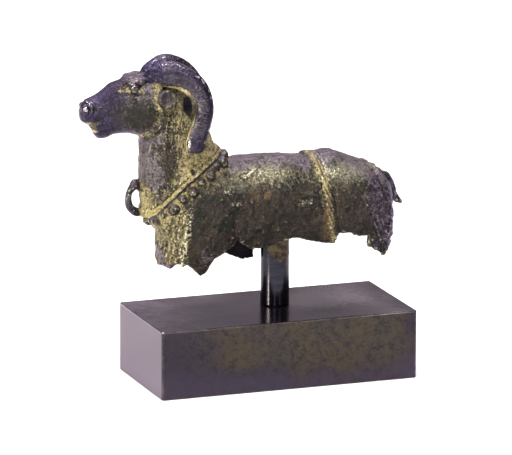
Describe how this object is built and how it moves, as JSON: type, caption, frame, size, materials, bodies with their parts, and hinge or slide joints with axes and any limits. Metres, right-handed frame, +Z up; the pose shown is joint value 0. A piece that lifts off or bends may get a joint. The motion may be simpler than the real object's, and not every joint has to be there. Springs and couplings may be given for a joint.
{
  "type": "bronze ram figure on plinth",
  "caption": "Hollow-cast bronze ram with curled horns, collar and girth band, legs lost, on a round post and a rectangular bronze plinth.",
  "frame": {"origin": "centre of the plinth's underside", "axes": "+Z up; the plinth's length lies along X and the ram faces -X, with its left side towards -Y"},
  "size_m": [0.1257, 0.0486, 0.1219],
  "materials": {
    "plinth_bronze": "dark brown patinated bronze, polished, faintly mottled",
    "post_bronze": "near-black polished bronze",
    "ram_bronze": "old cast bronze, dark brown to olive, purple sheen on raised parts, tan deposits in the recesses"
  },
  "bodies": {
    "root": {"plinth": "plinth_bronze", "post": "post_bronze", "ram": "ram_bronze"}
  },
  "joints": []
}
